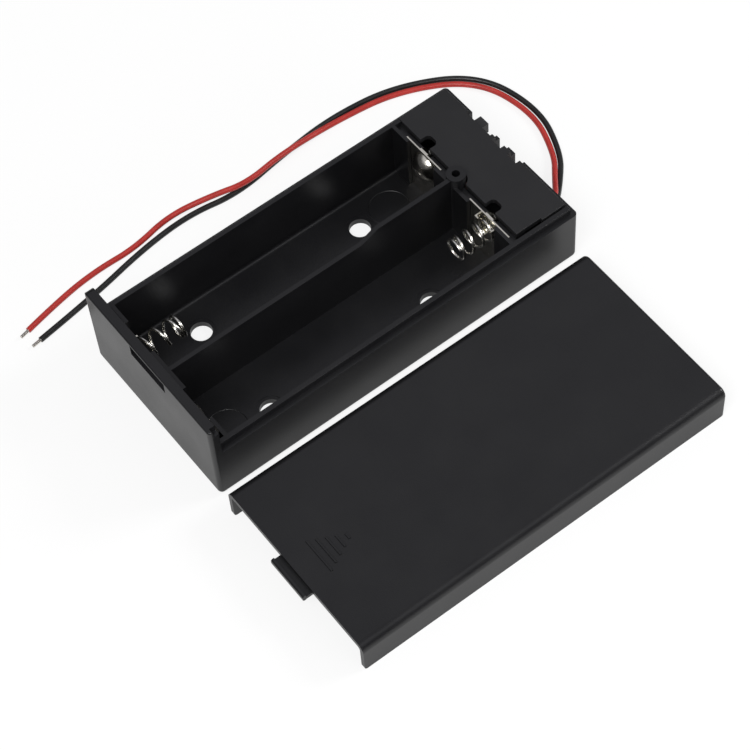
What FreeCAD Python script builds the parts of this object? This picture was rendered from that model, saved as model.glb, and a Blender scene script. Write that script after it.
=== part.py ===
import FreeCAD, Part
import math
import os

# A holder for two cylindrical cells side by side: an open tray with a closed switch compartment
# at its far end, a deep lid lying beside it, sprung contacts and a pair of leads.
# Millimetres. The origin is at the centre of the tray's underside, +X runs along the cells to the
# end where the leads come out, +Y points to the long side away from the lid, and +Z is up.

os.makedirs("parts", exist_ok=True)

# Tray shell
tray_length = 94.0
tray_width = 44.4
floor = 1.6
end_wall = 2.2
end_wall_height = 24.0
side_wall = 2.25
far_wall = 1.7
ledge_height = 15.2
rim_setback = 1.15
rim_height = 16.7
corner_radius = 1.0
bottom_radius = 1.8
edge_radius = 0.4
rim_edge_radius = 0.22
end_corner_radius = 1.5
pocket_radius = 0.8

# Rib between the two channels, low over its first part and high near the switch compartment
rib_thickness = 1.0
rib_low_height = 16.5
rib_high_height = 18.5
rib_step_from_near = 53.7
rib_step_run = 4.3

# Bars that hold the contact plates
bar_thickness = 0.85
bar_length = 5.2
plate_clearance = 0.08
backing_depth = 1.6
backing_width = 1.2

# Holes through the floor
hole_diameter = 4.8
hole_ring_diameter = 6.4
hole_ring_depth = 0.12
hole_from_near = 19.8
hole_spacing_x = 42.2
hole_spacing_y = 24.9

# Latch slot in the end wall, and the notch beside its front corner
latch_offset = -0.55
slot_width = 12.0
slot_height = 3.1
slot_top_web = 0.55
corner_notch_width = 1.3
corner_notch_depth = 1.4
corner_notch_wall = 0.9

# Switch compartment at the far end
partition_from_far = 14.1
partition_thickness = 1.2
partition_gap = 0.1
partition_notch = 1.0
partition_notch_play = 0.3
post_size = 2.6
boss_diameter = 4.3
boss_height = 18.7
boss_from_far = 14.7
boss_offset = 0.3
boss_hole_diameter = 1.8
boss_hole_depth = 12.0
cover_thickness = 1.2
cover_gap = 0.1
cover_front_gap = 1.1
cover_front_gap_narrow = 0.55
cover_front_step = 6.5
cover_edge_radius = 0.2
tab_notch_width = 3.2
tab_notch_depth = 2.4
tab_notch_radius = 1.1
tab_notch_y = 11.8
tab_notch_spacing = 22.0
boss_gap = 0.3

# Notches in the far wall for the lid's hooks and for the switch knob
notch_bottom = 11.3
hook_notch_width = 3.0
hook_notch_depth = 2.3
hook_offset = -0.35
hook_spacing = 5.2
switch_slot_width = 8.3
switch_offset = 8.95

# Contacts
contact_height = 12.6
sheet_thickness = 0.3
near_plate_height = 14.4
far_plate_top = 16.5
button_plate_width = 11.7
spring_plate_width = 13.0
spring_plate_shift = -1.65
spring_shift = 0.35
button_shift = -0.4
dome_diameter = 7.4
far_dome_height = 2.45
far_dome_z = 12.1
near_dome_height = 1.2
tab_width = 2.4
tab_flat = 0.6
tab_drop = 1.7
tab_shift = 0.3
clip_width = 1.2
clip_reach = 0.9
far_clip_rise = 2.1
near_clip_rise = 0.0
clip_over_turn = 1.5

# Springs
wire_diameter = 0.62
coil_diameter = 5.6
near_spring_length = 9.8
near_spring_turns = 3.9
near_spring_start = -122.0
near_spring_closed_base = 0.35
near_spring_closed_end = 1.15
far_spring_length = 9.2
far_spring_turns = 4.6
far_spring_start = -79.0
far_spring_closed_base = 0.7
far_spring_closed_end = 0.95
spring_points_per_turn = 10
pitch_change = 0.2

# Slide switch
switch_length = 8.6
switch_height = 4.0
switch_depth = 3.6
switch_sheet = 0.3
switch_face_from_far = 2.5
switch_roof_gap = 0.05
switch_base_thickness = 1.0
knob_width = 2.7
knob_height = 2.8
knob_reach = 0.95
knob_travel = 2.0
knob_flange = 0.7
knob_clearance = 0.15
terminal_pitch = 2.5
terminal_width = 1.0
terminal_thickness = 0.4
terminal_tail = 3.2
clip_sheet = 0.2
cradle_width = 1.4

# Lid
lid_gap = 0.1
lid_plate = 1.2
lid_skirt = 1.1
lid_top_radius = 1.9
lid_end_radius = 0.8
lid_overhang_side = 0.18
lid_overhang_end = 0.75
lid_beside_gap = 4.22
lid_shift = -0.75
lid_yaw = -0.36
lid_tab_width = 10.6
lid_tab_length = 2.2
lid_tab_lip = 0.8
lid_tab_thickness = 1.6
lid_tab_play = 0.25
lid_tab_groove = 0.6
lid_tab_neck = 0.9
lid_hook_width = 2.5
lid_hook_reach = 1.0
lid_hook_height = 1.2
lid_skirt_end_radius = 0.8

# Leads
lead_diameter = 1.3
lead_drop = 1.42
lead_exit_y = -10.3
red_exit_height = 4.0
lead_slot_play = 0.15
bare_diameter = 0.7
bare_length = 2.2
solder_radius = 0.95
solder_gap = 0.12
joint_ahead = 0.15
joint_below = 0.35

# Bends of the wires inside the compartment, measured from each wire's start and from its end
jumper_from_start = [(0.9, -0.7, -1.1)]
jumper_from_end = [(-1.9, 0.0, 0.0)]
red_inner_from_start = [(-2.4, 0.0, 0.0), (-2.2, -2.2, -4.6)]
red_inner_from_end = [(-4.5, 7.5, 0.5), (-4.2, 0.0, 0.0)]
black_inner_from_start = [(0.2, 0.0, -5.2), (2.6, 0.2, -9.4)]
black_inner_from_end = [(-5.0, 0.0, 0.0)]

# Lead routes outside the tray, from each exit: along X, along Y, and the height above the table
red_route = [
    (4.1, 0.0, red_exit_height),
    (8.7, 5.9, 1.9),
    (13.5, 11.7, 0.65),
    (17.5, 23.7, 0.65),
    (13.6, 39.1, 0.65),
    (-1.9, 48.0, 0.65),
    (-17.7, 50.1, 0.65),
    (-33.5, 49.3, 2.4),
    (-44.2, 47.5, 2.7),
    (-52.0, 49.7, 2.6),
    (-62.4, 52.1, 1.4),
    (-72.5, 50.2, 0.65),
    (-82.4, 50.6, 0.65),
    (-92.4, 49.4, 0.65),
    (-102.4, 47.0, 0.65),
]
black_route = [
    (4.2, 0.0, red_exit_height - lead_drop),
    (9.6, 5.1, 0.75),
    (14.8, 11.0, 0.65),
    (19.2, 23.7, 0.65),
    (15.0, 40.2, 0.65),
    (-1.4, 49.5, 0.65),
    (-17.6, 51.6, 0.65),
    (-32.2, 50.2, 0.65),
    (-46.5, 47.8, 0.65),
    (-58.4, 50.0, 0.65),
    (-71.5, 48.8, 0.65),
    (-87.0, 45.4, 0.65),
    (-101.7, 43.3, 0.65),
]

# Planes that the sizes above set
x_near = -tray_length / 2
x_far = tray_length / 2
y_front = -tray_width / 2
y_back = tray_width / 2
y_inner = tray_width / 2 - side_wall
x_wall = x_near + end_wall
x_far_inner = x_far - far_wall
channel_y = (y_inner + rib_thickness / 2) / 2
near_plate_x = x_wall + backing_depth + plate_clearance
near_bar_x = near_plate_x + sheet_thickness + plate_clearance
partition_x = x_far - partition_from_far - partition_thickness
far_plate_x = partition_x - plate_clearance - sheet_thickness
far_bar_x = far_plate_x - plate_clearance - bar_thickness
cover_x = partition_x + partition_thickness + cover_gap
cover_end_x = x_far - rim_setback
cover_back_y = y_back - rim_setback
cover_top = rim_height
cover_bottom = cover_top - cover_thickness
partition_height = cover_bottom - partition_gap
boss_x = x_far - boss_from_far
switch_face_x = x_far - switch_face_from_far
switch_back_x = switch_face_x - switch_depth
switch_z = cover_bottom - switch_roof_gap - switch_height / 2
lid_length = tray_length - end_wall - lid_gap + lid_overhang_end
lid_width = tray_width + 2 * lid_overhang_side
lid_height = end_wall_height - ledge_height - lid_gap
button_y = channel_y + button_shift
near_spring_y = channel_y + button_shift
spring_plate_y = -channel_y + spring_plate_shift
far_spring_y = spring_plate_y + spring_shift
button_tab_y = channel_y + tab_shift
spring_tab_y = spring_plate_y + tab_shift
tab_end_x = far_plate_x + tab_flat + tab_drop - sheet_thickness / 2
tab_end_z = far_plate_top - tab_drop - sheet_thickness / 2
joint_x = tab_end_x + joint_ahead
joint_z = tab_end_z - joint_below
wire_x = switch_back_x - terminal_tail - solder_gap
black_exit_height = red_exit_height - lead_drop


def vec(x, y, z):
    return FreeCAD.Vector(x, y, z)


def box(x0, x1, y0, y1, z0, z1):
    """A block between two corners."""
    return Part.makeBox(x1 - x0, y1 - y0, z1 - z0, vec(x0, y0, z0))


def centred(x0, x1, y, width, z0, z1):
    """A block centred on a value of Y."""
    return box(x0, x1, y - width / 2, y + width / 2, z0, z1)


def edges_where(shape, test):
    """The straight edges whose two ends both meet a test."""
    found = []
    for edge in shape.Edges:
        ends = [v.Point for v in edge.Vertexes]
        if len(ends) == 2 and all(test(p) for p in ends):
            found.append(edge)
    return found


def near_to(a, b):
    return abs(a - b) < 1e-6


def upright_edges(shape):
    """The edges that run along Z."""
    found = []
    for edge in shape.Edges:
        ends = [v.Point for v in edge.Vertexes]
        if len(ends) == 2 and near_to(ends[0].x, ends[1].x) and near_to(ends[0].y, ends[1].y):
            found.append(edge)
    return found


def profile_y(points, y, width):
    """A flat outline in X and Z, drawn out along Y about its middle."""
    start = [vec(px, y - width / 2, pz) for px, pz in points]
    face = Part.Face(Part.makePolygon(start + start[:1]))
    return face.extrude(vec(0, width, 0))


def fuse(shapes):
    joined = shapes[0]
    for shape in shapes[1:]:
        joined = joined.fuse(shape)
    return joined.removeSplitter()


def bead_path(points):
    """Straight runs joined by tangent arcs, each as large as its two runs allow."""
    edges = []
    radii = []
    start = points[0]
    for before, corner, after in zip(points, points[1:], points[2:]):
        to_corner = corner - before
        from_corner = after - corner
        turn = to_corner.getAngle(from_corner)
        reach = 0.45 * min(to_corner.Length, from_corner.Length)
        radii.append(reach / math.tan(turn / 2))
        back = to_corner.normalize()
        ahead = from_corner.normalize()
        arc_start = corner - back * reach
        arc_end = corner + ahead * reach
        bisector = (ahead - back).normalize()
        radius = radii[-1]
        depth = radius / math.cos(turn / 2) - radius
        edges.append(Part.LineSegment(start, arc_start).toShape())
        edges.append(Part.Arc(arc_start, corner + bisector * depth, arc_end).toShape())
        start = arc_end
    edges.append(Part.LineSegment(start, points[-1]).toShape())
    return Part.Wire(edges), radii


def tube(points, diameter, name):
    """A round tube along a path, with its bend radii and its volume printed."""
    path, radii = bead_path([vec(*p) for p in points])
    direction = vec(*points[1]) - vec(*points[0])
    circle = Part.Wire(Part.makeCircle(diameter / 2, vec(*points[0]), direction))
    solid = path.makePipeShell([circle], True, False)
    expected = math.pi * diameter ** 2 / 4 * path.Length
    text = ", ".join("%.1f" % r for r in radii)
    print("%s: length %.1f, volume %.4f of expected, radii %s"
          % (name, path.Length, solid.Volume / expected, text))
    return solid


def spring_coil(base_x, toward, y, length, turns, start_angle, closed_base, closed_end):
    """A compression spring lying along X: closed at its base and its end, open between."""
    radius = (coil_diameter - wire_diameter) / 2
    count = int(round(turns * spring_points_per_turn))
    step = turns / count
    # The share of the open pitch at each point swells from the closed parts to the open one
    shares = []
    for index in range(count + 1):
        turn = index * step
        inside = min(turn - closed_base, turns - closed_end - turn)
        shares.append(min(1.0, max(0.0, 0.5 + inside / pitch_change)))
    open_extra = (length - wire_diameter * (1 + turns)) / (sum(shares[:-1]) * step)
    points = []
    travel = wire_diameter / 2
    for index in range(count + 1):
        angle = math.radians(start_angle) + 2 * math.pi * index * step
        points.append(vec(base_x + toward * travel,
                          y + radius * math.cos(angle),
                          contact_height + radius * math.sin(angle)))
        travel += (wire_diameter + shares[index] * open_extra) * step
    curve = Part.BSplineCurve()
    curve.interpolate(points)
    path = Part.Wire(curve.toShape())
    start = curve.value(curve.FirstParameter)
    tangent = curve.tangent(curve.FirstParameter)[0]
    section = Part.Wire(Part.makeCircle(wire_diameter / 2, start, tangent))
    solid = path.makePipeShell([section], True, True)
    expected = math.pi * wire_diameter ** 2 / 4 * path.Length
    print("spring volume %.4f of expected" % (solid.Volume / expected))
    return solid


def tray_shell():
    """The outer walls: a block with rounded edges, stepped down behind the end wall."""
    block = box(x_near, x_far, y_front, y_back, 0, end_wall_height)
    block = block.makeFillet(corner_radius, upright_edges(block))
    bottom = [e for e in block.Edges if near_to(e.BoundBox.ZMax, 0)]
    block = block.makeFillet(bottom_radius, bottom)
    top = [e for e in block.Edges if near_to(e.BoundBox.ZMin, end_wall_height)]
    block = block.makeFillet(edge_radius, top)
    block = block.cut(box(x_wall, x_far + 1, y_front - 1, y_back + 1, ledge_height, end_wall_height + 1))
    rim = box(x_near + end_wall / 2, x_far - rim_setback, y_front + rim_setback, y_back - rim_setback,
              ledge_height - 1, rim_height)
    rim_top = [e for e in rim.Edges if near_to(e.BoundBox.ZMin, rim_height)]
    rim = rim.makeFillet(rim_edge_radius, rim_top)
    # Behind the partition the rim is lower at the back and at the far end, where the cover lies on it
    rim = rim.cut(box(cover_x - cover_gap, x_far, -y_inner, y_back, cover_bottom, rim_height + 1))
    pocket = box(x_wall, x_far_inner, -y_inner, y_inner, floor, end_wall_height + 1)
    pocket_floor = [e for e in pocket.Edges if near_to(e.BoundBox.ZMax, floor)]
    pocket = pocket.makeFillet(pocket_radius, pocket_floor)
    return block.fuse(rim).cut(pocket)


def tray_rib():
    """The wall between the channels, with its oblique step."""
    step = x_near + rib_step_from_near
    end = boss_x
    outline = [
        (near_bar_x, floor - 0.5),
        (end, floor - 0.5),
        (end, rib_high_height),
        (step + rib_step_run, rib_high_height),
        (step, rib_low_height),
        (near_bar_x, rib_low_height),
    ]
    return profile_y(outline, 0, rib_thickness)


def tray_bars():
    """Upright bars in front of the contact plates, beside each wall and each side of the rib."""
    bars = []
    for x in (near_bar_x, far_bar_x):
        for side in (-1, 1):
            outer = box(x, x + bar_thickness, y_inner - bar_length, y_inner + 0.5, floor - 0.5, rim_height)
            inner = box(x, x + bar_thickness, 0, rib_thickness / 2 + bar_length, floor - 0.5, rib_low_height)
            for bar in (outer, inner):
                if side < 0:
                    bar = bar.mirror(vec(0, 0, 0), vec(0, 1, 0))
                bars.append(bar)
    return bars


def tray_backing():
    """Short ribs on the end wall that press the near plate against its bars."""
    ribs = []
    for y in (-channel_y - bar_length, -channel_y + bar_length, channel_y - bar_length,
              channel_y + bar_length):
        ribs.append(centred(x_wall - 0.5, x_wall + backing_depth, y, backing_width, floor - 0.5,
                            near_plate_height))
    return ribs


def tray_compartment():
    """Partition, corner posts for the cover, the boss and the cradle that holds the switch."""
    post_x = partition_x + partition_thickness
    partition = box(partition_x, post_x, -y_inner - 0.5, y_inner + 0.5, floor - 0.5, partition_height)
    for y in (button_tab_y, spring_tab_y):
        partition = partition.cut(centred(partition_x - 1, post_x + 1, y, tab_width + 2 * partition_notch_play,
                                          partition_height - partition_notch, partition_height + 1))
    pieces = [partition]
    for y0, y1 in ((-y_inner + cover_front_gap, -y_inner + post_size), (y_inner - post_size, y_inner)):
        pieces.append(box(post_x - 0.5, post_x + post_size, y0, y1, floor - 0.5, cover_bottom))
        pieces.append(box(x_far_inner - post_size, x_far_inner + 0.2, y0, y1, floor - 0.5, cover_bottom))
    pieces.append(Part.makeCylinder(boss_diameter / 2, boss_height - floor + 0.5,
                                    vec(boss_x, boss_offset, floor - 0.5)))
    seat = switch_z - switch_height / 2
    half = switch_length / 2
    for y in (switch_offset - half / 2, switch_offset + half / 2):
        pieces.append(centred(switch_back_x, switch_face_x, y, cradle_width, floor - 0.5, seat))
    for side in (-1, 1):
        y = switch_offset + side * (half + plate_clearance + cradle_width / 2)
        pieces.append(centred(switch_back_x - 1, switch_face_x, y, cradle_width, floor - 0.5,
                              seat + switch_height * 0.8))
        y_stop = switch_offset + side * half
        pieces.append(centred(switch_back_x - 1, switch_back_x - plate_clearance, y_stop, cradle_width,
                              floor - 0.5, seat + switch_height * 0.6))
        y_pad = switch_offset + side * (switch_slot_width / 2 + cradle_width / 2)
        pieces.append(centred(switch_face_x + plate_clearance, x_far_inner + 0.2, y_pad, cradle_width,
                              notch_bottom, cover_bottom - 0.3))
    return pieces


def tray_cuts():
    """Holes, slots and notches."""
    cuts = []
    for column in (0, 1):
        for side in (-1, 1):
            x = x_near + hole_from_near + column * hole_spacing_x
            y = side * hole_spacing_y / 2
            cuts.append(Part.makeCylinder(hole_diameter / 2, floor + 2, vec(x, y, -1)))
            cuts.append(Part.makeCylinder(hole_ring_diameter / 2, hole_ring_depth + 1,
                                          vec(x, y, floor - hole_ring_depth)))
    slot_top = end_wall_height - slot_top_web
    cuts.append(centred(x_near - 1, x_wall + 0.01, latch_offset, slot_width, slot_top - slot_height,
                        slot_top))
    cuts.append(box(x_near + corner_notch_wall, x_wall + 0.01, y_front - 1, y_front + corner_notch_width,
                    end_wall_height - corner_notch_depth, end_wall_height + 1))
    for side in (-1, 1):
        cuts.append(centred(x_far - hook_notch_depth, x_far + 1, hook_offset + side * hook_spacing / 2,
                            hook_notch_width, notch_bottom, rim_height + 1))
    cuts.append(centred(x_far - far_wall - 0.01, x_far + 1, switch_offset, switch_slot_width,
                        notch_bottom, rim_height + 1))
    cuts.append(Part.makeCylinder(boss_hole_diameter / 2, boss_hole_depth + 1,
                                  vec(boss_x, boss_offset, boss_height - boss_hole_depth)))
    corner = box(x_near - 1, x_wall, y_back - end_corner_radius, y_back + 1,
                 end_wall_height - end_corner_radius, end_wall_height + 1)
    cuts.append(corner.cut(Part.makeCylinder(end_corner_radius, end_wall + 2,
                                             vec(x_near - 1, y_back - end_corner_radius,
                                                 end_wall_height - end_corner_radius), vec(1, 0, 0))))
    cuts.append(lead_slot())
    return cuts


def lead_slot():
    """An upright round-ended slot through the far wall for the two leads, one above the other."""
    radius = lead_diameter / 2 + lead_slot_play
    reach = far_wall + 2
    x = x_far_inner - 1
    first = Part.makeCylinder(radius, reach, vec(x, lead_exit_y, red_exit_height), vec(1, 0, 0))
    second = Part.makeCylinder(radius, reach, vec(x, lead_exit_y, black_exit_height), vec(1, 0, 0))
    middle = centred(x, x + reach, lead_exit_y, 2 * radius, black_exit_height, red_exit_height)
    return first.fuse(second).fuse(middle)


def make_tray():
    body = fuse([tray_shell(), tray_rib()] + tray_bars() + tray_backing() + tray_compartment())
    for cut in tray_cuts():
        body = body.cut(cut)
    return body


def make_cover():
    """The plate over the switch compartment, flush with the rim and lying on two of its walls."""
    front = -y_inner + cover_front_gap
    front_narrow = -y_inner + cover_front_gap_narrow
    step = cover_x + cover_front_step
    outline = [
        vec(cover_x, cover_back_y, cover_bottom),
        vec(cover_x, front, cover_bottom),
        vec(step, front, cover_bottom),
        vec(step, front_narrow, cover_bottom),
        vec(cover_end_x, front_narrow, cover_bottom),
        vec(cover_end_x, cover_back_y, cover_bottom),
    ]
    plate = Part.Face(Part.makePolygon(outline + outline[:1])).extrude(vec(0, 0, cover_thickness))
    top = [e for e in plate.Edges if near_to(e.BoundBox.ZMin, cover_top)]
    plate = plate.makeFillet(cover_edge_radius, top)
    low = cover_bottom - 1
    high = cover_top + 1
    for y in (tab_notch_y, tab_notch_y - tab_notch_spacing):
        notch = box(cover_x - 4, cover_x + tab_notch_depth, y - tab_notch_width / 2,
                    y + tab_notch_width / 2, low, high)
        plate = plate.cut(notch.makeFillet(tab_notch_radius, upright_edges(notch)))
    boss = Part.makeCylinder(boss_diameter / 2 + boss_gap, high - low, vec(boss_x, boss_offset, low))
    plate = plate.cut(boss)
    for side in (-1, 1):
        plate = plate.cut(centred(x_far - hook_notch_depth, x_far, hook_offset + side * hook_spacing / 2,
                                  hook_notch_width, low, high))
    return plate.cut(centred(x_far_inner - cover_gap, x_far, switch_offset, switch_slot_width, low, high))


def lid_tab():
    """The latch tab: a short neck, a groove and a raised lip that fills the slot in the end wall."""
    slot_top = end_wall_height - slot_top_web - ledge_height
    lip_top = slot_top - lid_tab_play
    lip_low = lip_top - lid_tab_thickness
    neck_top = lip_top - lid_tab_groove
    neck_low = neck_top - lid_tab_neck
    lip_x = -lid_tab_length + lid_tab_lip
    outline = [
        (lid_skirt, neck_low),
        (lid_skirt, neck_top),
        (lip_x, neck_top),
        (lip_x, lip_top),
        (-lid_tab_length + 0.3, lip_top),
        (-lid_tab_length, lip_top - 0.3),
        (-lid_tab_length, lip_low + 0.3),
        (-lid_tab_length + 0.3, lip_low),
        (lip_x, lip_low),
        (lip_x, neck_low),
    ]
    web = [
        (0, neck_low),
        (lid_skirt, neck_low),
        (lid_skirt, lid_height - lid_plate / 2),
        (0, lid_height - lid_plate / 2),
    ]
    y = lid_width / 2 + latch_offset
    return [profile_y(outline, y, lid_tab_width), profile_y(web, y, lid_tab_width)]


def make_lid():
    """The deep lid, open at its near end, standing on its skirts beside the tray."""
    block = box(0, lid_length, 0, lid_width, 0, lid_height)
    long_top = [e for e in block.Edges if near_to(e.BoundBox.ZMin, lid_height) and e.BoundBox.XLength > 1]
    block = block.makeFillet(lid_top_radius, long_top)
    far_outline = [e for e in block.Edges
                   if near_to(e.BoundBox.XMin, lid_length) and e.BoundBox.ZMax > 0.01]
    block = block.makeFillet(lid_end_radius, far_outline)
    inner_radius = lid_top_radius - lid_skirt
    hollow = box(-1, lid_length - lid_skirt, lid_skirt, lid_width - lid_skirt, -1, lid_height - lid_plate)
    hollow_top = [e for e in hollow.Edges
                  if near_to(e.BoundBox.ZMin, lid_height - lid_plate) and e.BoundBox.XMax > 0]
    hollow = hollow.makeFillet(inner_radius, hollow_top)
    body = block.cut(hollow)
    for y in (0, lid_width - lid_skirt):
        corner = box(-1, lid_skirt_end_radius, y - 1, y + lid_skirt + 1, -1, lid_skirt_end_radius)
        round_off = Part.makeCylinder(lid_skirt_end_radius, lid_skirt + 4,
                                      vec(lid_skirt_end_radius, y - 2, lid_skirt_end_radius), vec(0, 1, 0))
        body = body.cut(corner.cut(round_off))
    hooks = []
    for side in (-1, 1):
        y = lid_width / 2 + hook_offset + side * hook_spacing / 2
        inner = lid_length - lid_skirt
        outline = [
            (inner + 0.3, 0),
            (inner + 0.3, lid_hook_height + lid_hook_reach),
            (inner, lid_hook_height + lid_hook_reach),
            (inner - lid_hook_reach, lid_hook_height),
            (inner - lid_hook_reach, 0),
        ]
        hooks.append(profile_y(outline, y, lid_hook_width))
    body = fuse([body] + lid_tab() + hooks)
    body.rotate(vec(0, 0, 0), vec(0, 0, 1), lid_yaw)
    body.translate(vec(x_near + lid_shift, y_front - lid_beside_gap - lid_width, 0))
    return body


def dished(x_front, toward, dome_y, dome_z, dome_height, width, y_middle, z0, z1):
    """A sheet plate with one pressed dome that bulges towards the cells."""
    x0, x1 = sorted((x_front, x_front - toward * sheet_thickness))
    plate = box(x0, x1, y_middle - width / 2, y_middle + width / 2, z0, z1)
    base = dome_diameter / 2
    radius = (base ** 2 + dome_height ** 2) / (2 * dome_height)
    centre = vec(x_front + toward * (dome_height - radius), dome_y, dome_z)
    outer = Part.makeSphere(radius, centre)
    inner = Part.makeSphere(radius - sheet_thickness, centre)
    x_keep, x_end = sorted((x_front - toward * sheet_thickness, x_front + toward * (dome_height + 1)))
    keep = box(x_keep, x_end, dome_y - dome_diameter, dome_y + dome_diameter, dome_z - dome_diameter,
               dome_z + dome_diameter)
    return plate.fuse(outer.common(keep)).cut(inner)


def solder_tab(y):
    """The tab bent from the top of a far plate over the partition, sloping down to its joint."""
    bend = far_plate_x + tab_flat
    low = far_plate_top - sheet_thickness
    outline = [
        (far_plate_x, far_plate_top),
        (bend, far_plate_top),
        (bend + tab_drop, far_plate_top - tab_drop),
        (bend + tab_drop - sheet_thickness, low - tab_drop),
        (bend - sheet_thickness / 2, low),
        (far_plate_x, low),
    ]
    return profile_y(outline, y, tab_width)


def make_near_plate():
    """One plate that bridges both channels, with the pressed contact of the front one."""
    width = 2 * (y_inner - bar_length / 2)
    x_front = near_plate_x + sheet_thickness
    return dished(x_front, 1, -channel_y, contact_height, near_dome_height, width, 0, floor,
                  near_plate_height)


def make_button_contact():
    plate = dished(far_plate_x, -1, button_y, far_dome_z, far_dome_height, button_plate_width, channel_y,
                   floor, far_plate_top)
    return fuse([plate, solder_tab(button_tab_y)])


def coil_clips(x_face, toward, y, rise):
    """Two hooks lanced from a plate, folded over the first turn of its spring."""
    clips = []
    radius = coil_diameter / 2
    reach = clip_over_turn * wire_diameter + plate_clearance
    z = contact_height + rise
    half_chord = math.sqrt(radius ** 2 - max(0.0, rise - clip_width / 2) ** 2)
    for side in (-1, 1):
        leg_y = y + side * (half_chord + 2 * plate_clearance + sheet_thickness / 2)
        x0, x1 = sorted((x_face, x_face + toward * (reach + sheet_thickness)))
        clips.append(box(x0, x1, leg_y - sheet_thickness / 2, leg_y + sheet_thickness / 2,
                         z - clip_width / 2, z + clip_width / 2))
        y0, y1 = sorted((leg_y + side * sheet_thickness / 2, leg_y - side * (clip_reach)))
        x0, x1 = sorted((x_face + toward * reach, x_face + toward * (reach + sheet_thickness)))
        clips.append(box(x0, x1, y0, y1, z - clip_width / 2, z + clip_width / 2))
    return clips


def make_spring_plate():
    x1 = far_plate_x + sheet_thickness
    plate = centred(far_plate_x, x1, spring_plate_y, spring_plate_width, floor, far_plate_top)
    return fuse([plate, solder_tab(spring_tab_y)])


def make_switch_frame():
    """The folded steel frame of the slide switch, with the window that the knob slides in."""
    half_y = switch_length / 2
    half_z = switch_height / 2
    outer = box(switch_back_x, switch_face_x, switch_offset - half_y, switch_offset + half_y,
                switch_z - half_z, switch_z + half_z)
    hollow = box(switch_back_x - 1, switch_face_x - switch_sheet, switch_offset - half_y + switch_sheet,
                 switch_offset + half_y - switch_sheet, switch_z - half_z + switch_sheet,
                 switch_z + half_z - switch_sheet)
    window = centred(switch_face_x - 1, switch_face_x + 1, switch_offset,
                     knob_width + knob_travel + 2 * knob_clearance,
                     switch_z - knob_height / 2 - knob_clearance,
                     switch_z + knob_height / 2 + knob_clearance)
    return outer.cut(hollow).cut(window)


def switch_inside():
    """Half the room inside the frame along Y and along Z."""
    return switch_length / 2 - switch_sheet, switch_height / 2 - switch_sheet


def terminal_blade(y):
    x_inner = switch_back_x + switch_base_thickness
    return centred(switch_back_x - terminal_tail, x_inner, y, terminal_width,
                   switch_z - terminal_thickness / 2, switch_z + terminal_thickness / 2)


def terminal_ys():
    return [switch_offset + step * terminal_pitch for step in (-1, 0, 1)]


def make_switch_base():
    """The insulating plate that closes the frame and carries the terminals."""
    half_y, half_z = switch_inside()
    base = box(switch_back_x, switch_back_x + switch_base_thickness, switch_offset - half_y,
               switch_offset + half_y, switch_z - half_z, switch_z + half_z)
    for y in terminal_ys():
        base = base.cut(terminal_blade(y))
    return base


def make_terminals():
    return Part.makeCompound([terminal_blade(y) for y in terminal_ys()])


def knob_y():
    """The knob rests at the end of its travel away from the leads."""
    return switch_offset + knob_travel / 2


def make_knob():
    """The slide knob: a flange held inside the frame and a stem that sticks out."""
    half_z = switch_inside()[1]
    flange_x0 = switch_back_x + switch_base_thickness + 2 * clip_sheet + 2 * knob_clearance
    flange_x1 = switch_face_x - switch_sheet - knob_clearance / 2
    flange = box(flange_x0, flange_x1, knob_y() - knob_width / 2 - knob_flange,
                 knob_y() + knob_width / 2 + knob_flange, switch_z - half_z + knob_clearance,
                 switch_z + half_z - knob_clearance)
    stem = box(flange_x1 - 0.2, x_far + knob_reach, knob_y() - knob_width / 2, knob_y() + knob_width / 2,
               switch_z - knob_height / 2, switch_z + knob_height / 2)
    tip = [e for e in stem.Edges if near_to(e.BoundBox.XMin, x_far + knob_reach)]
    stem = stem.makeFillet(0.25, tip)
    return fuse([flange, stem])


def make_switch_clip():
    """The sliding contact under the knob, which joins two neighbouring terminals."""
    x0 = switch_back_x + switch_base_thickness + knob_clearance / 2
    rise = clip_sheet + 2 * knob_clearance - knob_clearance / 2
    reach = terminal_pitch / 2 + terminal_width / 4
    y = knob_y()
    outline = [
        vec(x0, y - reach, 0),
        vec(x0, y - reach + 0.6, 0),
        vec(x0 + rise, y - reach + 1.0, 0),
        vec(x0 + rise, y + reach - 1.0, 0),
        vec(x0, y + reach - 0.6, 0),
        vec(x0, y + reach, 0),
        vec(x0 + clip_sheet, y + reach, 0),
        vec(x0 + clip_sheet, y + reach - 0.5, 0),
        vec(x0 + rise + clip_sheet, y + reach - 0.85, 0),
        vec(x0 + rise + clip_sheet, y - reach + 0.85, 0),
        vec(x0 + clip_sheet, y - reach + 0.5, 0),
        vec(x0 + clip_sheet, y - reach, 0),
    ]
    strip = Part.Face(Part.makePolygon(outline + outline[:1])).extrude(vec(0, 0, terminal_width))
    strip.translate(vec(0, 0, switch_z - terminal_width / 2))
    return strip


def wire_points(start, from_start, from_end, end):
    """The points of a wire whose bends are measured from its two ends."""
    points = [start]
    for dx, dy, dz in from_start:
        points.append((start[0] + dx, start[1] + dy, start[2] + dz))
    for dx, dy, dz in from_end:
        points.append((end[0] + dx, end[1] + dy, end[2] + dz))
    return points + [end]


def jumper_points():
    """From the tab of the pressed contact to the middle terminal."""
    return wire_points((joint_x, button_tab_y, joint_z), jumper_from_start, jumper_from_end,
                       (wire_x, switch_offset, switch_z))


def red_inner_points():
    """From the first terminal down and along the compartment to the slot in the far wall."""
    return wire_points((wire_x, switch_offset - terminal_pitch, switch_z), red_inner_from_start,
                       red_inner_from_end, (x_far, lead_exit_y, red_exit_height))


def black_inner_points():
    """From the tab of the spring's plate down to the slot in the far wall."""
    return wire_points((joint_x, spring_tab_y, joint_z), black_inner_from_start, black_inner_from_end,
                       (x_far, lead_exit_y, black_exit_height))


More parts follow.
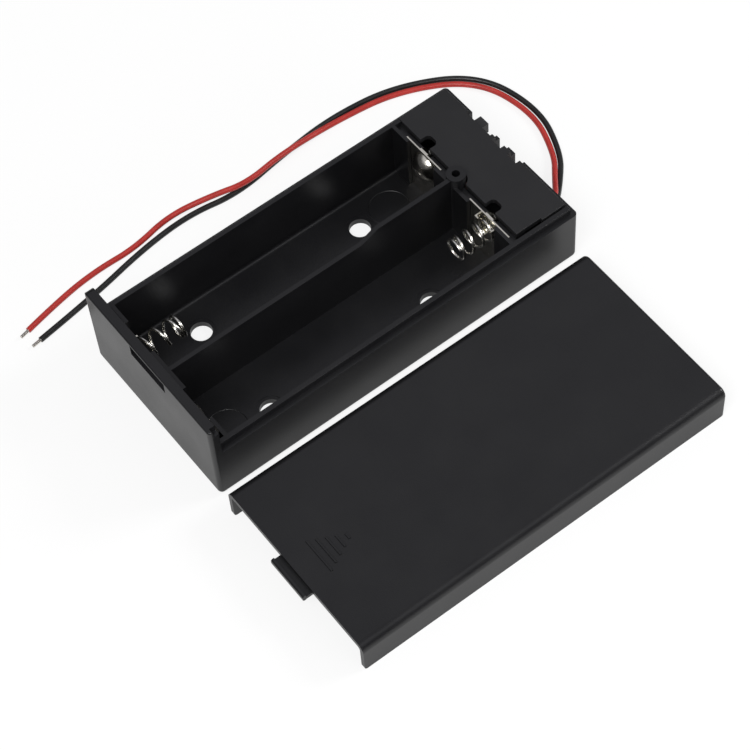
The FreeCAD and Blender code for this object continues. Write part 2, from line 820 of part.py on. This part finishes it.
def make_solder(solids, wires):
    """Beads of solder at each joint, shaped round what they touch."""
    jumper_line, red_line, black_line = jumper_points(), red_inner_points(), black_inner_points()
    starts = [jumper_line[:2], black_line[:2], jumper_line[:-3:-1], red_line[:2]]
    beads = []
    for joint, along in starts:
        # The ball's own axis lies along the wire that leaves it
        bead = Part.makeSphere(solder_radius, vec(*joint), vec(*along) - vec(*joint))
        for shape in solids + wires:
            bead = bead.cut(shape)
        beads.append(max(bead.Solids, key=lambda solid: solid.Volume))
    return Part.makeCompound(beads)


def lead_points(route, exit_height):
    points = [(x_far, lead_exit_y, exit_height)]
    for dx, dy, z in route:
        points.append((x_far + dx, lead_exit_y + dy, z))
    return points


def bare_tip(points):
    """The stripped end of a lead, in line with its last run."""
    end = vec(*points[-1])
    direction = (end - vec(*points[-2])).normalize()
    return Part.makeCylinder(bare_diameter / 2, bare_length, end, direction)


def save(name, shape):
    volume = shape.Volume
    print("%-22s solids %d valid %s volume %.1f" % (name, len(shape.Solids), shape.isValid(), volume))
    shape.exportStep("parts/%s.step" % name)


tray = make_tray()
near_plate = make_near_plate()
near_spring_x = near_plate_x + sheet_thickness
near_clips = coil_clips(near_spring_x, 1, near_spring_y, near_clip_rise)
near_plate = fuse([near_plate] + near_clips)
button_contact = make_button_contact()
spring_plate = fuse([make_spring_plate()] + coil_clips(far_plate_x, -1, far_spring_y, far_clip_rise))
terminals = make_terminals()
jumper = tube(jumper_points(), lead_diameter, "jumper")
red_inner = tube(red_inner_points(), lead_diameter, "red inner")
black_inner = tube(black_inner_points(), lead_diameter, "black inner")
red_points = lead_points(red_route, red_exit_height)
black_points = lead_points(black_route, black_exit_height)

save("tray", tray)
save("compartment_cover", make_cover())
save("lid", make_lid())
save("near_contact_plate", near_plate)
save("near_spring", spring_coil(near_spring_x, 1, near_spring_y, near_spring_length, near_spring_turns,
                                near_spring_start, near_spring_closed_base, near_spring_closed_end))
save("far_button_contact", button_contact)
save("far_spring_plate", spring_plate)
save("far_spring", spring_coil(far_plate_x, -1, far_spring_y, far_spring_length, far_spring_turns,
                               far_spring_start, far_spring_closed_base, far_spring_closed_end))
save("switch_frame", make_switch_frame())
save("switch_base", make_switch_base())
save("switch_knob", make_knob())
save("switch_contact_clip", make_switch_clip())
save("switch_terminals", terminals)
save("jumper_wire", jumper)
save("red_lead_inner", red_inner)
save("black_lead_inner", black_inner)
save("solder_joints", make_solder([tray, button_contact, spring_plate, terminals],
                                  [jumper, red_inner, black_inner]))
save("red_lead", tube(red_points, lead_diameter, "red lead"))
save("black_lead", tube(black_points, lead_diameter, "black lead"))
save("red_lead_tip", bare_tip(red_points))
save("black_lead_tip", bare_tip(black_points))
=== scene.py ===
import math

import bmesh
import bpy
from mathutils import Euler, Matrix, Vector


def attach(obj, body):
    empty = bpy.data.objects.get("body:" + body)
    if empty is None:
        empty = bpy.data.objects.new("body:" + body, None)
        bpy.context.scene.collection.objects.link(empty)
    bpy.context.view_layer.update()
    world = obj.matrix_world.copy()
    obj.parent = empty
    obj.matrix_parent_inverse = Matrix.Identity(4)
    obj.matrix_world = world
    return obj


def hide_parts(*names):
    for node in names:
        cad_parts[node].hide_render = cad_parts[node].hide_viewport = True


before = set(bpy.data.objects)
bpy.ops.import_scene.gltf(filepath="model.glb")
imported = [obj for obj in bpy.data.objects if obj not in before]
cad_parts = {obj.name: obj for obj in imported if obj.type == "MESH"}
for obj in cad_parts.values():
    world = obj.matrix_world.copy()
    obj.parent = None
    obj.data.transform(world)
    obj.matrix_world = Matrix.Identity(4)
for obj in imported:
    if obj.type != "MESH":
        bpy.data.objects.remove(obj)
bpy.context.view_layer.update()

# Looks for a holder for two cylindrical cells, its lid beside it, and its two leads.
# Metres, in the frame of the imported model: +X towards the leads, +Y away from the lid, +Z up.

MM = 0.001
HOLDER = "holder"
SENSOR = 36.0
PICTURE = 750
FOCAL_PIXELS = 2433.886
CAMERA_PLACE = (-0.15492, -0.24785, 0.42776)
CAMERA_TURN = (32.5209, 2.8026, -37.5885)

LAMP_AIM = (0.0, -0.02, 0.0)
FLOOR_SIZE = 6.0
FLOOR_WHITE = 0.80
FLOOR_SHADOWED_WHITE = 0.22
FLOOR_GLOW = 0.80
FLOOR_GLOSS_GLOW = 0.82
# The glow that gloss picks up under and between the parts, which is painted shade, and how far that shade
# reaches
FLOOR_PAINTED_SHADE_GLOW = 0.46
FLOOR_SHADE_REACH = 0.015
WORLD_LEVEL = 0.32
SKY_BLUE = 1.07
# The brightness that gloss sees in the sky, by the height of the direction from level to straight up
SKY = [(0.0, 0.05), (0.55, 0.06), (0.74, 0.50), (0.87, 0.50), (0.96, 0.12), (1.0, 0.10)]

# The lid's near front corner in X and Y, its turn in degrees, and its top
LID_CORNER = (-47.75, -71.18)
LID_TURN = -0.36
LID_TOP = 8.7

# Noise: the part of its range that is used, and marks per metre
NOISE_LOW = 0.3
NOISE_HIGH = 0.7
CLOUD_SCALE = 90.0
DRIFT_SCALE = 260.0
COVERING_GRAIN = 6000.0
COVERING_DEPTH = 0.000015
COVERING_ROUGH_SPAN = 0.1
PLASTIC_IOR = 1.5

# Raised bars on the lid, in millimetres along and across it
BAR_COUNT = 5
BAR_START = 5.6
BAR_PITCH = 1.75
BAR_WIDTH = 0.8
BAR_SLOPE = 0.2
BAR_RISE = 0.16
BAR_MIDDLE = 21.6
BAR_HALF_LENGTH = 4.4

# Marks of the mould's pins on the channel floors
CHANNEL_FLOOR = 1.6
PIN_PLACES = [(23.2, 12.6), (-37.0, -10.6)]
PIN_RADIUS = 4.6
PIN_LINE = 0.16
PIN_RISE = 0.05
PIN_STEPS = 72

LEAD_DIAMETER = 1.3 * MM
EXIT_X = 47.0
EXIT_Y = -10.3
RED_EXIT_HEIGHT = 4.0
BLACK_EXIT_HEIGHT = 2.58

# The leads' routes, in millimetres from the exits along X and Y, and the height above the table
RED_ROUTE = [
    (0.0, 0.0, RED_EXIT_HEIGHT),
    (4.1, 0.0, RED_EXIT_HEIGHT),
    (8.7, 5.9, 1.9),
    (13.5, 11.7, 0.65),
    (17.5, 23.7, 0.65),
    (13.6, 39.1, 0.65),
    (-1.9, 48.0, 0.65),
    (-17.7, 50.1, 0.65),
    (-33.5, 49.3, 2.4),
    (-44.2, 47.5, 2.7),
    (-52.0, 49.7, 2.6),
    (-62.4, 52.1, 1.4),
    (-72.5, 50.2, 0.65),
    (-82.4, 50.6, 0.65),
    (-92.4, 49.4, 0.65),
    (-102.4, 47.0, 0.65),
]
BLACK_ROUTE = [
    (0.0, 0.0, BLACK_EXIT_HEIGHT),
    (4.2, 0.0, BLACK_EXIT_HEIGHT),
    (9.6, 5.1, 0.75),
    (14.8, 11.0, 0.65),
    (19.2, 23.7, 0.65),
    (15.0, 40.2, 0.65),
    (-1.4, 49.5, 0.65),
    (-17.6, 51.6, 0.65),
    (-32.2, 50.2, 0.65),
    (-46.5, 47.8, 0.65),
    (-58.4, 50.0, 0.65),
    (-71.5, 48.8, 0.65),
    (-87.0, 45.4, 0.65),
    (-101.7, 43.3, 0.65),
]


def make_camera():
    """The camera at the photo's place and angle."""
    data = bpy.data.cameras.new("camera")
    data.sensor_width = SENSOR
    data.lens = FOCAL_PIXELS * SENSOR / PICTURE
    data.clip_start = 0.01
    data.clip_end = 20.0
    camera = bpy.data.objects.new("camera", data)
    camera.location = CAMERA_PLACE
    camera.rotation_euler = Euler([math.radians(a) for a in CAMERA_TURN], "XYZ")
    bpy.context.collection.objects.link(camera)
    bpy.context.scene.camera = camera


def new_material(name):
    """A material with its node tree and its shader."""
    material = bpy.data.materials.new(name)
    material.use_nodes = True
    tree = material.node_tree
    shader = tree.nodes["Principled BSDF"]
    return material, tree, shader


def add(tree, kind, **values):
    """A node with its inputs set by name."""
    node = tree.nodes.new(kind)
    for key, value in values.items():
        if key in node.inputs:
            node.inputs[key].default_value = value
        else:
            setattr(node, key, value)
    return node


def noise(tree, scale, detail):
    """Noise over the piece's own coordinates. The scale is in marks per metre."""
    place = add(tree, "ShaderNodeTexCoord")
    texture = add(tree, "ShaderNodeTexNoise", Scale=scale, Detail=detail)
    tree.links.new(place.outputs["Object"], texture.inputs["Vector"])
    return texture.outputs["Fac"]


def spread(tree, value, low, high):
    """The middle part of a noise's range, spread over a new span."""
    node = add(tree, "ShaderNodeMapRange")
    node.inputs["From Min"].default_value = NOISE_LOW
    node.inputs["From Max"].default_value = NOISE_HIGH
    node.inputs["To Min"].default_value = low
    node.inputs["To Max"].default_value = high
    tree.links.new(value, node.inputs["Value"])
    return node.outputs["Result"]


def shade(tree, value, first, second):
    """A colour between two colours."""
    ramp = add(tree, "ShaderNodeMix", data_type="RGBA")
    ramp.inputs["A"].default_value = (*first, 1.0)
    ramp.inputs["B"].default_value = (*second, 1.0)
    tree.links.new(value, ramp.inputs["Factor"])
    return ramp.outputs["Result"]


def bump(tree, shader, value, depth):
    """Bumps of a depth in metres, where the value is high."""
    node = add(tree, "ShaderNodeBump", Strength=1.0)
    node.inputs["Distance"].default_value = depth
    tree.links.new(value, node.inputs["Height"])
    tree.links.new(node.outputs["Normal"], shader.inputs["Normal"])


def moulded_black(name, dark, light, rough_low, rough_high, grain_scale, grain_depth):
    """Moulded black plastic: a fine grain, and gloss that drifts over the surface."""
    material, tree, shader = new_material(name)
    clouds = noise(tree, CLOUD_SCALE, 4.0)
    grain = noise(tree, grain_scale, 2.0)
    colour = shade(tree, spread(tree, clouds, 0.0, 1.0), dark, light)
    tree.links.new(colour, shader.inputs["Base Color"])
    tree.links.new(spread(tree, clouds, rough_low, rough_high), shader.inputs["Roughness"])
    bump(tree, shader, grain, grain_depth)
    shader.inputs["IOR"].default_value = PLASTIC_IOR
    return material


def bright_metal(name, dark, light, rough_low, rough_high, scale, depth):
    """Plated or rolled metal with small dents and stains."""
    material, tree, shader = new_material(name)
    stains = noise(tree, scale, 4.0)
    colour = shade(tree, spread(tree, stains, 0.0, 1.0), dark, light)
    tree.links.new(colour, shader.inputs["Base Color"])
    tree.links.new(spread(tree, stains, rough_low, rough_high), shader.inputs["Roughness"])
    shader.inputs["Metallic"].default_value = 1.0
    bump(tree, shader, stains, depth)
    return material


def insulation(name, dark, light, rough):
    """Soft extruded covering with a fine grain."""
    material, tree, shader = new_material(name)
    drift = noise(tree, DRIFT_SCALE, 3.0)
    grain = noise(tree, COVERING_GRAIN, 2.0)
    colour = shade(tree, spread(tree, drift, 0.0, 1.0), dark, light)
    tree.links.new(colour, shader.inputs["Base Color"])
    tree.links.new(spread(tree, drift, rough, rough + COVERING_ROUGH_SPAN), shader.inputs["Roughness"])
    bump(tree, shader, grain, COVERING_DEPTH)
    return material


def make_materials():
    """Each look by its name: two colours, two roughnesses, then the size and depth of its grain."""
    return {
        "tray": moulded_black("tray_black", (0.006, 0.006, 0.007), (0.009, 0.009, 0.010), 0.32, 0.38,
                              3500.0, 0.000018),
        "cover": moulded_black("cover_black", (0.012, 0.012, 0.013), (0.016, 0.016, 0.017), 0.38, 0.43,
                               4200.0, 0.000024),
        "lid": moulded_black("lid_black", (0.008, 0.008, 0.009), (0.011, 0.011, 0.012), 0.32, 0.37,
                             4200.0, 0.000022),
        "knob": moulded_black("knob_black", (0.020, 0.020, 0.021), (0.028, 0.028, 0.030), 0.4, 0.5,
                              4500.0, 0.000012),
        "nickel": bright_metal("nickel_sheet", (0.74, 0.71, 0.62), (0.90, 0.87, 0.78), 0.12, 0.24,
                               500.0, 0.00004),
        "wire": bright_metal("spring_wire", (0.80, 0.78, 0.72), (0.94, 0.92, 0.87), 0.20, 0.28,
                             900.0, 0.000003),
        "steel": bright_metal("switch_steel", (0.50, 0.50, 0.50), (0.62, 0.62, 0.61), 0.28, 0.4,
                              700.0, 0.00002),
        "copper": bright_metal("switch_copper", (0.62, 0.36, 0.20), (0.75, 0.45, 0.26), 0.25, 0.35,
                               700.0, 0.00002),
        "tin": bright_metal("tinned_blade", (0.62, 0.60, 0.56), (0.76, 0.74, 0.70), 0.24, 0.36,
                            900.0, 0.00003),
        "solder": bright_metal("solder_bead", (0.60, 0.60, 0.59), (0.80, 0.80, 0.78), 0.16, 0.32,
                               1500.0, 0.00004),
        "strands": bright_metal("tinned_strands", (0.62, 0.57, 0.50), (0.84, 0.80, 0.74), 0.2, 0.3,
                                2500.0, 0.00005),
        "board": moulded_black("switch_board", (0.20, 0.11, 0.05), (0.28, 0.16, 0.07), 0.5, 0.6,
                               2500.0, 0.00002),
        "red": insulation("red_covering", (0.45, 0.032, 0.026), (0.56, 0.042, 0.034), 0.30),
        "black": insulation("black_covering", (0.010, 0.010, 0.010), (0.016, 0.016, 0.016), 0.32),
    }


NODE_LOOKS = {
    "tray": "tray",
    "compartment_cover": "cover",
    "lid": "lid",
    "near_contact_plate": "nickel",
    "far_button_contact": "nickel",
    "far_spring_plate": "nickel",
    "near_spring": "wire",
    "far_spring": "wire",
    "switch_frame": "steel",
    "switch_base": "board",
    "switch_knob": "knob",
    "switch_contact_clip": "copper",
    "switch_terminals": "tin",
    "jumper_wire": "black",
    "red_lead_inner": "red",
    "black_lead_inner": "black",
    "solder_joints": "solder",
    "red_lead_tip": "strands",
    "black_lead_tip": "strands",
}


def dress_nodes(looks):
    """Gives each solid that stays its look."""
    for node, look in NODE_LOOKS.items():
        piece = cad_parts[node]
        for index in range(len(piece.data.materials)):
            piece.data.materials[index] = looks[look]


def make_lead(name, route, material, solid):
    """A lead as one smooth curve along its route, in place of its plain solid."""
    data = bpy.data.curves.new(name, "CURVE")
    data.dimensions = "3D"
    data.bevel_depth = LEAD_DIAMETER / 2
    data.bevel_resolution = 6
    data.resolution_u = 16
    data.use_fill_caps = True
    spline = data.splines.new("NURBS")
    spline.points.add(len(route) - 1)
    for point, (dx, dy, z) in zip(spline.points, route):
        point.co = ((EXIT_X + dx) * MM, (EXIT_Y + dy) * MM, z * MM, 1.0)
    spline.order_u = 3
    spline.use_endpoint_u = True
    data.materials.append(material)
    lead = bpy.data.objects.new(name, data)
    bpy.context.collection.objects.link(lead)
    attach(lead, HOLDER)
    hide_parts(solid)


def lid_point(along, across, height):
    """A point on the lid, from its near front corner, with the lid's small turn."""
    turn = math.radians(LID_TURN)
    x = LID_CORNER[0] + along * math.cos(turn) - across * math.sin(turn)
    y = LID_CORNER[1] + along * math.sin(turn) + across * math.cos(turn)
    return x * MM, y * MM, height * MM


def finish_piece(name, mesh_data, material):
    """Makes a named piece of the mesh, on the holder."""
    mesh = bpy.data.meshes.new(name)
    mesh_data.to_mesh(mesh)
    mesh_data.free()
    mesh.materials.append(material)
    piece = bpy.data.objects.new(name, mesh)
    bpy.context.collection.objects.link(piece)
    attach(piece, HOLDER)


def make_lid_bars(material):
    """Plain tapered bars, raised a hair from the lid's top, each shorter than the one before."""
    bars = bmesh.new()
    for index in range(BAR_COUNT):
        along = BAR_START + index * BAR_PITCH
        half = BAR_HALF_LENGTH * (1.0 - index / BAR_COUNT)
        low, top = [], []
        for across, side in ((-half, -1), (half, -1), (half, 1), (-half, 1)):
            low.append(bars.verts.new(lid_point(along + side * BAR_WIDTH / 2, BAR_MIDDLE + across,
                                                LID_TOP - BAR_RISE)))
            inward = BAR_SLOPE if across < 0 else -BAR_SLOPE
            top.append(bars.verts.new(lid_point(along + side * (BAR_WIDTH / 2 - BAR_SLOPE),
                                                BAR_MIDDLE + across + inward, LID_TOP + BAR_RISE)))
        bars.faces.new(top)
        bars.faces.new(low[::-1])
        for a in range(4):
            b = (a + 1) % 4
            bars.faces.new((low[a], low[b], top[b], top[a]))
    bmesh.ops.recalc_face_normals(bars, faces=bars.faces)
    finish_piece("lid_grip_bars", bars, material)


def make_pin_rings(material):
    """The faint round edges that the mould's pins leave on the channel floors."""
    rings = bmesh.new()
    for x, y in PIN_PLACES:
        inner, outer, crest = [], [], []
        for step in range(PIN_STEPS):
            angle = 2 * math.pi * step / PIN_STEPS
            for radius, height, line in ((PIN_RADIUS - PIN_LINE, -PIN_RISE, inner),
                                         (PIN_RADIUS, PIN_RISE, crest),
                                         (PIN_RADIUS + PIN_LINE, -PIN_RISE, outer)):
                line.append(rings.verts.new(((x + radius * math.cos(angle)) * MM,
                                             (y + radius * math.sin(angle)) * MM,
                                             (CHANNEL_FLOOR + height) * MM)))
        for step in range(PIN_STEPS):
            after = (step + 1) % PIN_STEPS
            for first, second in ((inner, crest), (crest, outer), (outer, inner)):
                rings.faces.new((first[step], first[after], second[after], second[step]))
    bmesh.ops.recalc_face_normals(rings, faces=rings.faces)
    finish_piece("floor_pin_rings", rings, material)


def make_floor():
    """A pale floor: white to the camera and to gloss, with painted shade that darkens what gloss picks up
    where something stands over it.
    """
    bpy.ops.mesh.primitive_plane_add(size=FLOOR_SIZE, location=(0, 0, 0))
    floor = bpy.context.object
    floor.name = "floor"
    material = bpy.data.materials.new("floor_white")
    material.use_nodes = True
    tree = material.node_tree
    tree.nodes.clear()
    output = add(tree, "ShaderNodeOutputMaterial")
    path = add(tree, "ShaderNodeLightPath")
    plain = add(tree, "ShaderNodeBsdfDiffuse")
    plain.inputs["Color"].default_value = (FLOOR_WHITE, FLOOR_WHITE, FLOOR_WHITE, 1.0)
    faint = add(tree, "ShaderNodeBsdfDiffuse")
    shadowed = FLOOR_SHADOWED_WHITE
    faint.inputs["Color"].default_value = (shadowed, shadowed, shadowed, 1.0)
    glow = add(tree, "ShaderNodeEmission")
    glow.inputs["Strength"].default_value = FLOOR_GLOW
    white = add(tree, "ShaderNodeAddShader")
    tree.links.new(faint.outputs[0], white.inputs[0])
    tree.links.new(glow.outputs[0], white.inputs[1])
    # Painted shade: the white that gloss picks up fades where the parts stand over the floor
    painted_shade_mask = add(tree, "ShaderNodeAmbientOcclusion", Distance=FLOOR_SHADE_REACH)
    painted_shade_glow = add(tree, "ShaderNodeMapRange")
    painted_shade_glow.inputs["To Min"].default_value = FLOOR_PAINTED_SHADE_GLOW
    painted_shade_glow.inputs["To Max"].default_value = FLOOR_GLOSS_GLOW
    tree.links.new(painted_shade_mask.outputs["AO"], painted_shade_glow.inputs["Value"])
    mirrored = add(tree, "ShaderNodeEmission")
    tree.links.new(painted_shade_glow.outputs[0], mirrored.inputs["Strength"])
    for_camera = add(tree, "ShaderNodeMixShader")
    tree.links.new(path.outputs["Is Camera Ray"], for_camera.inputs[0])
    tree.links.new(plain.outputs[0], for_camera.inputs[1])
    tree.links.new(white.outputs[0], for_camera.inputs[2])
    for_gloss = add(tree, "ShaderNodeMixShader")
    tree.links.new(path.outputs["Is Glossy Ray"], for_gloss.inputs[0])
    tree.links.new(for_camera.outputs[0], for_gloss.inputs[1])
    tree.links.new(mirrored.outputs[0], for_gloss.inputs[2])
    tree.links.new(for_gloss.outputs[0], output.inputs["Surface"])
    floor.data.materials.append(material)


def make_world():
    """Even grey light from all round, and for gloss a bright ceiling over a dark horizon."""
    world = bpy.data.worlds.new("world")
    bpy.context.scene.world = world
    world.use_nodes = True
    tree = world.node_tree
    back = tree.nodes["Background"]
    path = add(tree, "ShaderNodeLightPath")
    place = add(tree, "ShaderNodeTexCoord")
    parts = add(tree, "ShaderNodeSeparateXYZ")
    tree.links.new(place.outputs["Generated"], parts.inputs[0])
    sky = add(tree, "ShaderNodeValToRGB")
    stops = sky.color_ramp.elements
    stops[0].position, stops[1].position = SKY[0][0], SKY[-1][0]
    for position, level in SKY[1:-1]:
        stops.new(position)
    for stop, (position, level) in zip(stops, SKY):
        stop.color = (level, level, level * SKY_BLUE, 1.0)
    tree.links.new(parts.outputs["Z"], sky.inputs["Fac"])
    for_gloss = add(tree, "ShaderNodeMix", data_type="RGBA")
    for_gloss.inputs["A"].default_value = (WORLD_LEVEL, WORLD_LEVEL, WORLD_LEVEL, 1.0)
    tree.links.new(path.outputs["Is Glossy Ray"], for_gloss.inputs["Factor"])
    tree.links.new(sky.outputs["Color"], for_gloss.inputs["B"])
    for_camera = add(tree, "ShaderNodeMix", data_type="RGBA")
    for_camera.inputs["B"].default_value = (1.0, 1.0, 1.0, 1.0)
    tree.links.new(path.outputs["Is Camera Ray"], for_camera.inputs["Factor"])
    tree.links.new(for_gloss.outputs["Result"], for_camera.inputs["A"])
    tree.links.new(for_camera.outputs["Result"], back.inputs["Color"])


def add_lamp(name, place, width, height, power):
    """A flat lamp turned to the holder. Metres and watts."""
    data = bpy.data.lights.new(name, "AREA")
    data.shape = "RECTANGLE"
    data.size = width
    data.size_y = height
    data.energy = power
    lamp = bpy.data.objects.new(name, data)
    lamp.location = place
    lamp.rotation_euler = (Vector(LAMP_AIM) - Vector(place)).to_track_quat("-Z", "Y").to_euler()
    bpy.context.collection.objects.link(lamp)
    return lamp


def make_lights():
    """A large soft lamp, a small one that edges and springs pick up, and a low one that gloss ignores."""
    add_lamp("key", (-0.5, -0.35, 0.9), 0.5, 0.5, 6.0)
    add_lamp("fill", (0.75, -0.3, 0.6), 0.3, 0.3, 3.0)
    front = add_lamp("front", (0.25, -1.0, 0.30), 0.7, 0.3, 2.2)
    front.visible_glossy = False


bpy.context.scene.view_settings.view_transform = "Standard"
make_camera()
looks = make_materials()
make_lead("red_lead_line", RED_ROUTE, looks["red"], "red_lead")
make_lead("black_lead_line", BLACK_ROUTE, looks["black"], "black_lead")
dress_nodes(looks)
make_lid_bars(looks["lid"])
make_pin_rings(looks["tray"])
make_floor()
make_world()
make_lights()
